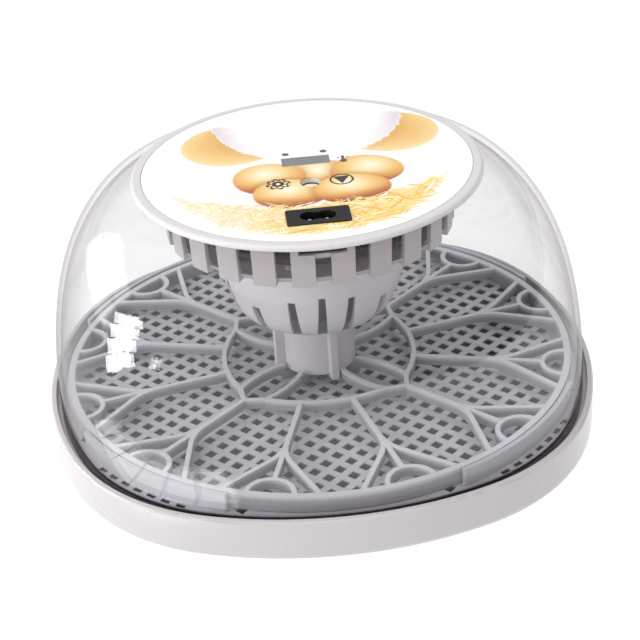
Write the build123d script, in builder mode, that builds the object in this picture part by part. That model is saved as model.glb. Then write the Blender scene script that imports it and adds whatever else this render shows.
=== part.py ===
from build123d import *
from math import cos, hypot, radians, sin, tan
import os

# Round-cornered egg incubator: white base, slotted floor, twelve-pocket egg turner, clear dome
# and a heated head. Millimetres, +Z up, origin on the table under the turner's axis, front
# towards -Y.

os.makedirs("parts", exist_ok=True)

# Plan of the base, floor and dome: a square with bulging sides and wide corners.
CORNER_RATIO = 0.727  # corner radius over half width
CORNER_START = 21.0  # degrees from the side's middle where a corner arc begins
SUPERCIRCLE = 2.35  # exponent of the superellipse that follows the same plan

# Heights above the table
FOOT_DROP = 1.0
RIM_TOP = 25.0
DOME_START = 27.0  # the dome stands straight up to here
FLOOR_TOP = 22.7
FLOOR_THICK = 2.0
TURNER_TOP = 32.0
HEAD_SEAT = 140.8
LABEL_TOP = 143.7

# Clearances
GAP = 0.3  # between pieces that move apart
SNUG = 0.1  # between pieces that are fixed together
RUN_FIT = 0.05  # radial, shaft in bush

# Base
BASE_HALF = 147.5
BASE_WALL = 3.0
BASE_FLOOR = 2.5
BASE_EDGE = 5.5
LEDGE_HALF = 136.5
LEDGE_THICK = 3.0

# Dome
DOME_HALF = 142.2
DOME_WALL = 2.5
DOME_TOP_WALL = 3.8
DOME_FOOT = FLOOR_TOP - FLOOR_THICK + GAP
DOME_OPENING = 84.0
DOME_EXPONENT = 2.66
DOME_PEAK_HALF = 61.3
DOME_RISE = 116.5
DOME_LEAN = 3.4

# Egg turner
TURNER_RADIUS = 137.0
TURNER_RIM = 3.6
RIB = 2.6
RIB_HEIGHT = 5.4
POCKETS = 12
ARC_RADIUS = 52.0
JOINT_RADIUS = 61.0
FORK_RADIUS = 100.0
TURNER_TURN = -1.0  # degrees that the turner stands from the base's own axes

# Head
FLANGE_RADIUS = 91.4
LABEL_RADIUS = 85.6
BASKET_RADIUS = 76.6
BASKET_BOTTOM = 113.0
BASKET_SLOTS = 24
BELL_TOP_RADIUS = 49.8
BELL_BOTTOM = 62.0
SHELL_WALL = 2.2
BOARD_TOP = 133.0
BOARD_THICK = 1.6

# Drive
COLUMN_RADIUS = 20.0
COLUMN_BOTTOM = 28.0
FIN_RADIUS = 25.0
FIN_ANGLES = (-74.0, -164.0, 106.0)
FIN_BELOW = 1.0  # the fins reach this far below the column
PEG = 11.4
SPINDLE_RADIUS = 4.0
MOTOR_SHAFT_RADIUS = 3.0
FAN_SHAFT_RADIUS = 1.5

# Places on the label, from its centre
DISPLAY_AT = (0.0, 5.6)
DISPLAY_SIZE = (24.8, 10.0)
LAMPS_AT = [(-9.7, 15.6), (10.3, 15.6)]
SET_KEY_AT = (-16.0, -20.5)
MIDDLE_KEY_AT = (0.0, -20.8)
DOWN_KEY_AT = (16.0, -20.8)
KEY_RADIUS = 6.0
MIDDLE_KEY_RADIUS = 5.2
INLET_AT = (0.0, -60.5)
INLET_SIZE = (31.6, 16.6)
PIN_SPACING = 8.6


def save(builder, node):
    """Label a finished piece and write its STEP file."""
    builder.part.label = node
    export_step(builder.part, f"parts/{node}.step")


def polar(radius, angle, height=None):
    """A point at this radius and angle in degrees, level with the plane or at a height."""
    spot = (radius * cos(radians(angle)), radius * sin(radians(angle)))
    return spot if height is None else (*spot, height)


def outward(angle, distance=0.0):
    """An upright plane through the axis, or a distance out from it, facing outwards at this angle."""
    way = (cos(radians(angle)), sin(radians(angle)), 0)
    across = (-sin(radians(angle)), cos(radians(angle)), 0)
    return Plane(origin=(distance * way[0], distance * way[1], 0), x_dir=across, z_dir=way)


def soft_square(half, height, corner_ratio=CORNER_RATIO):
    """Sketch the plan outline, eight tangent arcs, at this half width and height."""
    corner_radius = half * corner_ratio
    start = radians(CORNER_START)
    corner = (half - corner_radius) / (1 - 1 / tan(start) + 1 / sin(start))
    side_radius = corner_radius + corner / sin(start)
    with BuildSketch(Plane.XY.offset(height)) as outline:
        with BuildLine():
            for quarter in range(4):
                turn = 90 * quarter
                side_centre = polar(half - side_radius, turn)
                corner_centre = polar(corner * 2**0.5, turn + 45)
                CenterArc(side_centre, side_radius, turn - CORNER_START, 2 * CORNER_START)
                CenterArc(corner_centre, corner_radius, turn + CORNER_START, 90 - 2 * CORNER_START)
        make_face()
    return outline.sketch


def plan_block(half, low, high, mode=Mode.ADD):
    """Extrude the plan outline between two heights in the part being built."""
    extrude(soft_square(half, low), amount=high - low, mode=mode)


def disc(radius, low, high, mode=Mode.ADD, at=(0, 0)):
    """Extrude a round between two heights in the part being built."""
    with BuildSketch(Plane.XY.offset(low)) as outline:
        with Locations(at):
            Circle(radius)
    extrude(outline.sketch, amount=high - low, mode=mode)


def curved_bar(centre, radius, first, span, thick):
    """Sketch an arc of even thickness with round ends, in the sketch being built."""
    with BuildLine() as path:
        CenterArc(centre, radius, first, span)
    SlotArc(path.wire(), thick)


def block(size, low, high, mode=Mode.ADD, at=(0, 0)):
    """Extrude a rectangle between two heights in the part being built."""
    with BuildSketch(Plane.XY.offset(low)) as outline:
        with Locations(at):
            Rectangle(*size)
    extrude(outline.sketch, amount=high - low, mode=mode)


# ---------------------------------------------------------------- base
ledge_top = FLOOR_TOP - FLOOR_THICK
rim_half = BASE_HALF - BASE_WALL
floor_inside = FOOT_DROP + BASE_FLOOR
BASE_RIM_ROUND = 1.2
BUSH_RADIUS = 6.5
PILLAR_RADIUS = 9.5
bush_seat = floor_inside + 2.0
bush_bottom = floor_inside + 4.0
spindle_tip = floor_inside + 5.0
FOOT_RADIUS = 8.0
FOOT_RECESS = 1.0
FOOT_EDGE = 0.6
FOOT_DISTANCE = 118.0
feet_at = [polar(FOOT_DISTANCE, 45 + 90 * corner) for corner in range(4)]

with BuildPart() as base_hollow:
    plan_block(rim_half, floor_inside, ledge_top - LEDGE_THICK)
    fillet(base_hollow.edges().group_by(Axis.Z)[0], BASE_EDGE - BASE_WALL)

with BuildPart() as base_shell:
    plan_block(BASE_HALF, FOOT_DROP, RIM_TOP)
    fillet(base_shell.edges().group_by(Axis.Z)[0], BASE_EDGE)
    fillet(base_shell.edges().group_by(Axis.Z)[-1], BASE_RIM_ROUND)
    add(base_hollow.part, mode=Mode.SUBTRACT)
    plan_block(LEDGE_HALF, ledge_top - LEDGE_THICK, ledge_top, Mode.SUBTRACT)
    plan_block(rim_half, ledge_top, RIM_TOP, Mode.SUBTRACT)
    # pillar that carries the middle of the floor, with room for the turner's bush
    disc(PILLAR_RADIUS, FOOT_DROP, ledge_top)
    disc(BUSH_RADIUS + GAP, bush_seat, ledge_top, Mode.SUBTRACT)
    for foot in feet_at:
        disc(FOOT_RADIUS + SNUG, FOOT_DROP, FOOT_DROP + FOOT_RECESS, Mode.SUBTRACT, foot)
save(base_shell, "base_shell")

with BuildPart() as rubber_feet:
    for foot in feet_at:
        disc(FOOT_RADIUS, 0, FOOT_DROP + FOOT_RECESS, Mode.ADD, foot)
    fillet(rubber_feet.edges().group_by(Axis.Z)[0], FOOT_EDGE)
save(rubber_feet, "rubber_feet")

# Water tray: two ring-shaped channels round the pillar
TRAY_RADIUS = 122.0
TRAY_HEIGHT = 9.0
TRAY_WALL = 1.8
TRAY_MIDDLE = 62.0  # radius of the wall between the channels
TRAY_HOLE = 13.0
tray_low = floor_inside + SNUG
channels = [
    (TRAY_HOLE + TRAY_WALL, TRAY_MIDDLE - TRAY_WALL / 2),
    (TRAY_MIDDLE + TRAY_WALL / 2, TRAY_RADIUS - TRAY_WALL),
]
with BuildPart() as water_tray:
    disc(TRAY_RADIUS, tray_low, tray_low + TRAY_HEIGHT)
    for inner, outer in channels:
        with BuildSketch(Plane.XY.offset(tray_low + TRAY_WALL)):
            Circle(outer)
            Circle(inner, mode=Mode.SUBTRACT)
        extrude(amount=TRAY_HEIGHT, mode=Mode.SUBTRACT)
    disc(TRAY_HOLE, tray_low, tray_low + TRAY_HEIGHT, Mode.SUBTRACT)
save(water_tray, "water_tray")

# Floor: a flat plate with square holes in diagonal rows
FLOOR_HALF = 139.0
HOLE = 5.2
HOLE_PITCH = 9.0
HOLE_LIMIT = 133.5
HOLE_CLEAR = 10.5  # the middle of the plate has no holes
EDGE_SLOTS = 7  # short slots in each corner, outside the guides
EDGE_SLOT_DISTANCE = 143.2
EDGE_SLOT_STEP = 3.6
EDGE_SLOT_WIDE = 2.8
hole_steps = range(-17, 18)


def floor_hole_places():
    """Diagonal lattice points whose holes stand clear of the plate's edge and its centre."""
    places = []
    for row in hole_steps:
        for column in hole_steps:
            x = (row - column) * HOLE_PITCH / 2**0.5
            y = (row + column) * HOLE_PITCH / 2**0.5
            reach = (abs(x) ** SUPERCIRCLE + abs(y) ** SUPERCIRCLE) ** (1 / SUPERCIRCLE)
            if reach < HOLE_LIMIT and hypot(x, y) > HOLE_CLEAR:
                places.append((x, y))
    return places


with BuildPart() as floor_grid:
    with BuildSketch(Plane.XY.offset(ledge_top)):
        add(soft_square(FLOOR_HALF, 0))
        with Locations(*floor_hole_places()):
            Rectangle(HOLE, HOLE, rotation=45, mode=Mode.SUBTRACT)
        for corner in range(4):
            first = 45 + 90 * corner - EDGE_SLOT_STEP * (EDGE_SLOTS - 1) / 2
            with PolarLocations(EDGE_SLOT_DISTANCE, EDGE_SLOTS, start_angle=first,
                                angular_range=EDGE_SLOT_STEP * EDGE_SLOTS):
                Rectangle(EDGE_SLOT_WIDE, HOLE, mode=Mode.SUBTRACT)
        Circle(BUSH_RADIUS, mode=Mode.SUBTRACT)
    extrude(amount=FLOOR_THICK)
save(floor_grid, "floor_grid")

# Four arc walls on the floor keep the turner in place
GUIDE_INSIDE = TURNER_RADIUS + 1.2
GUIDE_THICK = 2.4
GUIDE_SPAN = 40.0
GUIDE_TOP = TURNER_TOP + 0.6
with BuildPart() as corner_guides:
    for corner in range(4):
        first = 45 + 90 * corner - GUIDE_SPAN / 2
        with BuildSketch(Plane.XY.offset(FLOOR_TOP)):
            curved_bar((0, 0), GUIDE_INSIDE + GUIDE_THICK / 2, first, GUIDE_SPAN, GUIDE_THICK)
        extrude(amount=GUIDE_TOP - FLOOR_TOP)
save(corner_guides, "corner_guides")

# Bush fixed in the middle of the floor, hanging in the base's pillar
with BuildPart() as turner_bush:
    disc(BUSH_RADIUS, bush_seat + GAP, FLOOR_TOP)
    disc(SPINDLE_RADIUS + RUN_FIT, bush_bottom, FLOOR_TOP, Mode.SUBTRACT)
save(turner_bush, "turner_bush")

# ---------------------------------------------------------------- egg turner
turner_low = FLOOR_TOP + GAP
BOSS_RADIUS = 10.6
BOSS_TOP = 27.4
SOCKET_FLOOR = 1.0
ARC_END = (54.5, 9.5)  # radius, and degrees from the corner's diagonal
HUB_END = (23.0, 17.0)
HUB_MIDDLE = (38.0, 15.5)
BRANCH_END = (TURNER_RADIUS - TURNER_RIM / 2, 10.8)
BRANCH_BEND = 26.0  # radius where a branch leaves its stem
LOOP_RADIUS = 12.0
LOOP_CENTRE = 134.0
LOOP_SPAN = 176.0


def rib(*points):
    """Sketch a rib of even thickness along a line, or along an arc through three points."""
    if len(points) == 2:
        middle = [(first + last) / 2 for first, last in zip(*points)]
        SlotCenterPoint(middle, points[1], RIB)
        return
    with BuildLine() as path:
        ThreePointArc(*points)
    SlotArc(path.wire(), RIB)


def bent_rib(bend, *points):
    """Sketch a rib of even thickness along straight runs joined by tangent arcs."""
    with BuildLine() as path:
        FilletPolyline(*points, radius=bend)
    SlotArc(path.wire(), RIB)


rib_plane = Plane.XY.offset(TURNER_TOP - RIB_HEIGHT).rotated((0, 0, TURNER_TURN))
turner_plane = Plane.XY.offset(turner_low).rotated((0, 0, TURNER_TURN))
with BuildPart() as egg_turner:
    with BuildSketch(turner_plane):
        Circle(TURNER_RADIUS)
        Circle(TURNER_RADIUS - TURNER_RIM, mode=Mode.SUBTRACT)
    extrude(amount=TURNER_TOP - turner_low)
    with BuildSketch(rib_plane):
        for corner in range(4):
            diagonal = 45 + 90 * corner
            joint = polar(JOINT_RADIUS, diagonal)
            arc_reach = 45 - ARC_END[1]
            rib(
                polar(ARC_END[0], diagonal + ARC_END[1]),
                polar(ARC_RADIUS, diagonal + 45),
                polar(ARC_END[0], diagonal + 45 + arc_reach),
            )
            for side in (-1, 1):
                arc_end = polar(ARC_END[0], diagonal + side * ARC_END[1])
                rib(arc_end, joint)
                rib(polar(HUB_END[0], diagonal + side * HUB_END[1]),
                    polar(HUB_MIDDLE[0], diagonal + side * HUB_MIDDLE[1]), arc_end)
        for pocket in range(POCKETS):
            angle = 15 + 360 / POCKETS * pocket
            at_corner = pocket % 3 == 1
            stem_start = polar(JOINT_RADIUS if at_corner else ARC_RADIUS, angle)
            fork = polar(FORK_RADIUS, angle)
            for side in (-1, 1):
                bent_rib(BRANCH_BEND, stem_start, fork,
                         polar(BRANCH_END[0], angle + side * BRANCH_END[1]))
            rib(fork, polar(LOOP_CENTRE - LOOP_RADIUS, angle))
            curved_bar(polar(LOOP_CENTRE, angle), LOOP_RADIUS, angle + 180 - LOOP_SPAN / 2, LOOP_SPAN, RIB)
    extrude(amount=RIB_HEIGHT)
    # low spokes carry the middle boss, which the drive peg enters from above
    with BuildSketch(turner_plane):
        for corner in range(4):
            for side in (-1, 1):
                angle = 45 + 90 * corner + side * HUB_END[1]
                rib(polar(BOSS_RADIUS - RIB, angle), polar(HUB_END[0], angle))
        Circle(BOSS_RADIUS)
    extrude(amount=BOSS_TOP - turner_low)
    with BuildSketch(turner_plane.offset(SOCKET_FLOOR)):
        Rectangle(PEG + 2 * GAP, PEG + 2 * GAP)
    extrude(amount=BOSS_TOP, mode=Mode.SUBTRACT)
    disc(SPINDLE_RADIUS, spindle_tip, turner_low + SOCKET_FLOOR)
save(egg_turner, "egg_turner")

# ---------------------------------------------------------------- dome
DOME_LEVELS = 11
DOME_FIRST_TURN = 4.0
DOME_LAST_TURN = 80.5
SEAT_DEPTH = 0.4


def dome_levels(wall, top_wall):
    """Half width, height and roundness of the dome's levels, moved inwards by its walls."""
    levels = [(DOME_HALF - wall, DOME_FOOT, CORNER_RATIO)]
    for step in range(DOME_LEVELS):
        turn = radians(DOME_FIRST_TURN + (DOME_LAST_TURN - DOME_FIRST_TURN) * step / (DOME_LEVELS - 1))
        rise = sin(turn) ** (2 / DOME_EXPONENT)
        spread = cos(turn) ** (2 / DOME_EXPONENT)
        span = DOME_HALF - wall - DOME_LEAN * rise - DOME_PEAK_HALF
        height = DOME_START + (DOME_RISE - top_wall) * rise
        roundness = CORNER_RATIO + (1 - CORNER_RATIO) * (1 - spread)
        levels.append((DOME_PEAK_HALF + span * spread, height, roundness))
    return levels


with BuildPart() as dome_cover:
    loft([soft_square(*level).face() for level in dome_levels(0, 0)])
    inside_levels = dome_levels(DOME_WALL, DOME_TOP_WALL)
    loft([soft_square(*level).face() for level in inside_levels], mode=Mode.SUBTRACT)
    disc(DOME_OPENING, BASKET_BOTTOM, LABEL_TOP, Mode.SUBTRACT)
    # flat seat for the head's flange
    disc(FLANGE_RADIUS + 2, HEAD_SEAT - SEAT_DEPTH, LABEL_TOP, Mode.SUBTRACT)
save(dome_cover, "dome_cover")

# ---------------------------------------------------------------- head: flange and label
LABEL_THICK = 0.5
LABEL_GROOVE = 0.45  # round the label's edge
FLANGE_ROUND = 2.0
FLANGE_LOWER_ROUND = 0.5
LAMP_RADIUS = 1.8
POST_RADIUS = 3.2
POST_OVERLAP = 0.5  # posts run this far into the flange
BOARD_POST_RADIUS = 2.6
SCREW_HOLE = 1.3
HEAD_SCREW_DEEP = 14.0
BOARD_SCREW_DEEP = 6.0
BASKET_FLOOR = 2.0
floor_plane_top = BASKET_BOTTOM + BASKET_FLOOR
board_posts = [(-42.0, 28.0), (42.0, 28.0), (-46.0, -22.0), (46.0, -22.0)]
head_posts = [polar(65.0, 45 + 90 * corner) for corner in range(4)]
key_places = [(SET_KEY_AT, KEY_RADIUS), (MIDDLE_KEY_AT, MIDDLE_KEY_RADIUS), (DOWN_KEY_AT, KEY_RADIUS)]
window_hole = (DISPLAY_SIZE[0] + 2 * SNUG, DISPLAY_SIZE[1] + 2 * SNUG)
INLET_FLANGE = 1.0  # the inlet's edge lies this far over the label
inlet_body = (INLET_SIZE[0] - 2 * INLET_FLANGE, INLET_SIZE[1] - 2 * INLET_FLANGE)
inlet_hole = (inlet_body[0] + 2 * SNUG, inlet_body[1] + 2 * SNUG)


def label_openings(low, high):
    """Cut the display, lamp, key and inlet holes through a sheet of the head."""
    block(window_hole, low, high, Mode.SUBTRACT, DISPLAY_AT)
    block(inlet_hole, low, high, Mode.SUBTRACT, INLET_AT)
    for lamp in LAMPS_AT:
        disc(LAMP_RADIUS + SNUG, low, high, Mode.SUBTRACT, lamp)
    for place, radius in key_places:
        disc(radius + GAP, low, high, Mode.SUBTRACT, place)


label_low = LABEL_TOP - LABEL_THICK
with BuildPart() as head_flange:
    disc(FLANGE_RADIUS, HEAD_SEAT, LABEL_TOP)
    fillet(head_flange.edges().group_by(Axis.Z)[-1], FLANGE_ROUND)
    fillet(head_flange.edges().group_by(Axis.Z)[0], FLANGE_LOWER_ROUND)
    disc(LABEL_RADIUS + LABEL_GROOVE, label_low, LABEL_TOP, Mode.SUBTRACT)
    for post in head_posts:
        disc(POST_RADIUS, floor_plane_top, HEAD_SEAT + POST_OVERLAP, Mode.ADD, post)
        disc(SCREW_HOLE, floor_plane_top, floor_plane_top + HEAD_SCREW_DEEP, Mode.SUBTRACT, post)
    for post in board_posts:
        disc(BOARD_POST_RADIUS, BOARD_TOP, HEAD_SEAT + POST_OVERLAP, Mode.ADD, post)
        disc(SCREW_HOLE, BOARD_TOP, BOARD_TOP + BOARD_SCREW_DEEP, Mode.SUBTRACT, post)
    label_openings(HEAD_SEAT, LABEL_TOP)
save(head_flange, "head_flange")

with BuildPart() as label_panel:
    disc(LABEL_RADIUS, label_low, LABEL_TOP)
    label_openings(label_low, LABEL_TOP)
save(label_panel, "label_panel")

# ---------------------------------------------------------------- head: keys, display, inlet
KEY_TRAVEL = 0.6
CAP_THICK = 1.8
STEM_RADIUS = 2.0
MIDDLE_KEY_SUNK = 3.2
MIDDLE_KEY_EDGE = 0.5
SWITCH_SIDE = 6.0
SWITCH_HEIGHT = 3.0
SWITCH_TIP = 3.6
SWITCH_TIP_RADIUS = 1.7
key_foot = BOARD_TOP + SWITCH_TIP + KEY_TRAVEL + GAP


def key_cap(place, radius, top):
    """A round key with a stem down to its switch, in the part being built."""
    disc(radius, top - CAP_THICK, top, Mode.ADD, place)
    disc(STEM_RADIUS, key_foot, top - CAP_THICK, Mode.ADD, place)


with BuildPart() as set_key:
    key_cap(SET_KEY_AT, KEY_RADIUS, LABEL_TOP)
save(set_key, "set_key")

with BuildPart() as middle_key:
    key_cap(MIDDLE_KEY_AT, MIDDLE_KEY_RADIUS, LABEL_TOP - MIDDLE_KEY_SUNK)
    fillet(middle_key.edges().group_by(Axis.Z)[-1], MIDDLE_KEY_EDGE)
save(middle_key, "middle_key")

with BuildPart() as down_key:
    key_cap(DOWN_KEY_AT, KEY_RADIUS, LABEL_TOP)
save(down_key, "down_key")

with BuildPart() as key_switches:
    for place, radius in key_places:
        block((SWITCH_SIDE, SWITCH_SIDE), BOARD_TOP, BOARD_TOP + SWITCH_HEIGHT, Mode.ADD, place)
        disc(SWITCH_TIP_RADIUS, BOARD_TOP + SWITCH_HEIGHT, BOARD_TOP + SWITCH_TIP, Mode.ADD, place)
save(key_switches, "key_switches")

WINDOW_THICK = 1.2
DISPLAY_BODY = (27.0, 13.0)
DISPLAY_FACE = (24.0, 9.2)
display_shoulder = HEAD_SEAT - 4 * SNUG
with BuildPart() as display_window:
    block(DISPLAY_SIZE, LABEL_TOP - WINDOW_THICK, LABEL_TOP, Mode.ADD, DISPLAY_AT)
save(display_window, "display_window")

with BuildPart() as display_module:
    block(DISPLAY_BODY, BOARD_TOP, display_shoulder, Mode.ADD, DISPLAY_AT)
    block(DISPLAY_FACE, display_shoulder, LABEL_TOP - WINDOW_THICK - SNUG, Mode.ADD, DISPLAY_AT)
save(display_module, "display_module")

with BuildPart() as indicator_lamps:
    for lamp in LAMPS_AT:
        disc(LAMP_RADIUS, BOARD_TOP, LABEL_TOP - 2 * SNUG, Mode.ADD, lamp)
save(indicator_lamps, "indicator_lamps")

INLET_TOP = LABEL_TOP + 0.7
INLET_DEEP = 22.0
INLET_CORNER = 1.5
SOCKET_RADIUS = 4.7
SOCKET_NECK = 7.4
SOCKET_DEEP = 14.0
PIN_RADIUS = 1.2
PIN_LONG = 12.0
PIN_POINT = 0.6
socket_floor = INLET_TOP - SOCKET_DEEP
pins_at = [(INLET_AT[0] + side * PIN_SPACING / 2, INLET_AT[1]) for side in (-1, 1)]
with BuildPart() as mains_inlet:
    block(INLET_SIZE, LABEL_TOP, INLET_TOP, Mode.ADD, INLET_AT)
    fillet(mains_inlet.edges().filter_by(Axis.Z), INLET_CORNER)
    block(inlet_body, INLET_TOP - INLET_DEEP, LABEL_TOP, Mode.ADD, INLET_AT)
    for pin in pins_at:
        disc(SOCKET_RADIUS, socket_floor, INLET_TOP, Mode.SUBTRACT, pin)
    block((PIN_SPACING, SOCKET_NECK), socket_floor, INLET_TOP, Mode.SUBTRACT, INLET_AT)
save(mains_inlet, "mains_inlet")

with BuildPart() as inlet_pins:
    for pin in pins_at:
        disc(PIN_RADIUS, socket_floor, socket_floor + PIN_LONG, Mode.ADD, pin)
    fillet(inlet_pins.edges().group_by(Axis.Z)[-1], PIN_POINT)
save(inlet_pins, "inlet_pins")

# ---------------------------------------------------------------- head: control board
BOARD_RADIUS = 60.0
BOARD_CHORD = -50.0
board_low = BOARD_TOP - BOARD_THICK
MODULE_AT = (0.0, 38.0)
MODULE_SIZE = (30.0, 20.0)
MODULE_HIGH = 10.0
BUZZER_AT = (33.0, 8.0)
BUZZER_RADIUS = 6.0
BUZZER_HIGH = 6.0
with BuildPart() as control_board:
    with BuildSketch(Plane.XY.offset(board_low)):
        Circle(BOARD_RADIUS)
        with Locations((0, BOARD_CHORD - BOARD_RADIUS / 2)):
            Rectangle(2 * BOARD_RADIUS, BOARD_RADIUS, mode=Mode.SUBTRACT)
        with Locations(*board_posts):
            Circle(SCREW_HOLE, mode=Mode.SUBTRACT)
    extrude(amount=BOARD_THICK)
save(control_board, "control_board")

with BuildPart() as power_module:
    block(MODULE_SIZE, board_low - MODULE_HIGH, board_low, Mode.ADD, MODULE_AT)
    chamfer(power_module.edges().group_by(Axis.Z)[0], 1.0)
save(power_module, "power_module")

with BuildPart() as buzzer:
    disc(BUZZER_RADIUS, BOARD_TOP, BOARD_TOP + BUZZER_HIGH, Mode.ADD, BUZZER_AT)
    disc(1.0, BOARD_TOP + BUZZER_HIGH - 1.0, BOARD_TOP + BUZZER_HIGH, Mode.SUBTRACT, BUZZER_AT)
save(buzzer, "buzzer")
SHANK_RADIUS = 1.2  # of every screw


def pan_screws(places, seat, head_radius, shank_long, upward):
    """Screws whose heads bear on a level seat; the shanks run upward or downward from it."""
    way = 1 if upward else -1
    head_high = 0.62 * head_radius
    slot_wide = 0.25 * head_radius
    for place in places:
        with BuildSketch(Plane.XY.offset(seat)) as head:
            with Locations(place):
                Circle(head_radius)
        extrude(head.sketch, amount=-way * head_high)
        with BuildSketch(Plane.XY.offset(seat)) as shank:
            with Locations(place):
                Circle(SHANK_RADIUS)
        extrude(shank.sketch, amount=way * shank_long)
        with BuildSketch(Plane.XY.offset(seat - way * head_high)) as slot:
            with Locations(place):
                Rectangle(1.5 * head_radius, slot_wide)
                Rectangle(slot_wide, 1.5 * head_radius)
        extrude(slot.sketch, amount=way * head_high / 2, mode=Mode.SUBTRACT)


with BuildPart() as board_screws:
    pan_screws(board_posts, board_low, 2.5, 7.0, True)
save(board_screws, "board_screws")

# ---------------------------------------------------------------- head: slotted basket and bell
BASKET_TAPER = 1.2
SILL_TOP = 117.2
SLOT_TOP = 138.4
FRONT_SLOT_TOP = 128.3
SLOT_WIDE = 7.9
FRONT_WINDOW_WIDE = 23.8
FRONT_WINDOW_LOW = 130.8
NOTCH = 1.2
FOOT_ROUND = 6.0
FOOT_ROUND_INSIDE = 4.5
SLOT_REACH = 8.0  # the slots are cut out from this far inside the wall
bell_seat_radius = BELL_TOP_RADIUS + 2 * SNUG
basket_foot = BASKET_RADIUS - BASKET_TAPER
LIP_RADIUS = 56.0
LIP_THICK = 1.6
bracket_screws_at = [polar(53.4, 22.5 + 90 * corner) for corner in range(4)]
PROBE_AT = polar(64.8, 100)
PROBE_RADIUS = 2.4


def slot_plane(slot, distance):
    """An upright plane facing outwards at a slot's angle; slot 0 is at the front."""
    return outward(-90 + 360 / BASKET_SLOTS * slot, distance)


# flat posts between the slots stand proud of the wall, square at their feet
with BuildPart() as basket_posts:
    with BuildSketch(Plane.XZ):
        Polygon(
            (basket_foot - FOOT_ROUND, BASKET_BOTTOM),
            (basket_foot, BASKET_BOTTOM),
            (BASKET_RADIUS, HEAD_SEAT),
            (BASKET_RADIUS - SHELL_WALL, HEAD_SEAT),
            (basket_foot - SHELL_WALL, floor_plane_top + FOOT_ROUND_INSIDE),
            (basket_foot - FOOT_ROUND, floor_plane_top),
            align=None,
        )
    revolve(axis=Axis.Z)
    for slot in range(BASKET_SLOTS):
        with BuildSketch(slot_plane(slot, BASKET_RADIUS - 2 * SLOT_REACH)):
            with Locations((0, (BASKET_BOTTOM + SLOT_TOP) / 2)):
                Rectangle(SLOT_WIDE, SLOT_TOP - BASKET_BOTTOM)
        extrude(amount=4 * SLOT_REACH, mode=Mode.SUBTRACT)

# the wall behind them ends in a rounded foot and carries the floor that the bell hangs from
with BuildPart() as head_basket:
    with BuildSketch(Plane.XZ):
        with BuildLine():
            wall_foot = (basket_foot - NOTCH, BASKET_BOTTOM + FOOT_ROUND)
            floor_edge = (basket_foot - NOTCH - FOOT_ROUND, BASKET_BOTTOM)
            inner_foot = (basket_foot - SHELL_WALL, floor_plane_top + FOOT_ROUND_INSIDE)
            inner_edge = (basket_foot - SHELL_WALL - FOOT_ROUND_INSIDE, floor_plane_top)
            Line(floor_edge, (bell_seat_radius, BASKET_BOTTOM))
            Line((bell_seat_radius, BASKET_BOTTOM), (bell_seat_radius, floor_plane_top))
            Line((bell_seat_radius, floor_plane_top), inner_edge)
            RadiusArc(inner_edge, inner_foot, -FOOT_ROUND_INSIDE)
            Line(inner_foot, (BASKET_RADIUS - SHELL_WALL, HEAD_SEAT))
            Line((BASKET_RADIUS - SHELL_WALL, HEAD_SEAT), (BASKET_RADIUS - NOTCH, HEAD_SEAT))
            Line((BASKET_RADIUS - NOTCH, HEAD_SEAT), wall_foot)
            RadiusArc(wall_foot, floor_edge, FOOT_ROUND)
        make_face()
    revolve(axis=Axis.Z)
    for slot in range(BASKET_SLOTS):
        slot_top = FRONT_SLOT_TOP if slot == 0 else SLOT_TOP
        with BuildSketch(slot_plane(slot, BASKET_RADIUS - SLOT_REACH)):
            with Locations((0, (SILL_TOP + slot_top) / 2)):
                Rectangle(SLOT_WIDE, slot_top - SILL_TOP)
        extrude(amount=2 * SLOT_REACH, mode=Mode.SUBTRACT)
    add(basket_posts.part)
    # wide window over the front slot, behind the mains inlet
    with BuildSketch(slot_plane(0, BASKET_RADIUS - SLOT_REACH)):
        with Locations((0, (FRONT_WINDOW_LOW + SLOT_TOP) / 2)):
            Rectangle(FRONT_WINDOW_WIDE, SLOT_TOP - FRONT_WINDOW_LOW)
    extrude(amount=2 * SLOT_REACH, mode=Mode.SUBTRACT)
    for hole in head_posts + bracket_screws_at:
        disc(SCREW_HOLE + SNUG, BASKET_BOTTOM, floor_plane_top, Mode.SUBTRACT, hole)
    disc(PROBE_RADIUS + SNUG, BASKET_BOTTOM, floor_plane_top, Mode.SUBTRACT, PROBE_AT)
save(head_basket, "head_basket")

with BuildPart() as head_screws:
    pan_screws(head_posts, BASKET_BOTTOM, 2.8, 12.0, True)
save(head_screws, "head_screws")

BELL_SLOT_LOW = 64.8
BELL_SLOT_WIDE = 5.4
BELL_SLOTS = [(-18.5, 89.0, 3.8), (0, 91.3, 3.4), (18.5, 89.0, 3.8), (45, 81.5, 5.0)]  # angle, top, top width
BELL_SLOT_START = 26.0  # radius that the slots are cut out from
BELL_FOOT_RADIUS = 33.0
BELL_SHOULDER = (43.0, BELL_BOTTOM + 8)
BELL_SIDE = (47.4, BELL_BOTTOM + 20)
EAR_DISTANCE = 27.6
SHAFT_HOLE_GAP = 1.0
motor_ears_at = [(-EAR_DISTANCE, 0), (EAR_DISTANCE, 0)]


def bell_profile(inset, low):
    """Sketch the bell's half section, moved inwards, from its bottom at a height to its top."""
    with BuildSketch(Plane.XZ) as section:
        with BuildLine():
            side = Spline(
                (BELL_FOOT_RADIUS - inset, low),
                (BELL_SHOULDER[0] - inset, BELL_SHOULDER[1] + 0.7 * inset),
                (BELL_SIDE[0] - inset, BELL_SIDE[1]),
                (BELL_TOP_RADIUS - inset, floor_plane_top),
                tangents=((1, 0.25), (0.04, 1)),
            )
            Line(side @ 1, (0, floor_plane_top))
            Line((0, floor_plane_top), (0, low))
            Line((0, low), side @ 0)
        make_face()
    return section.sketch


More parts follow.
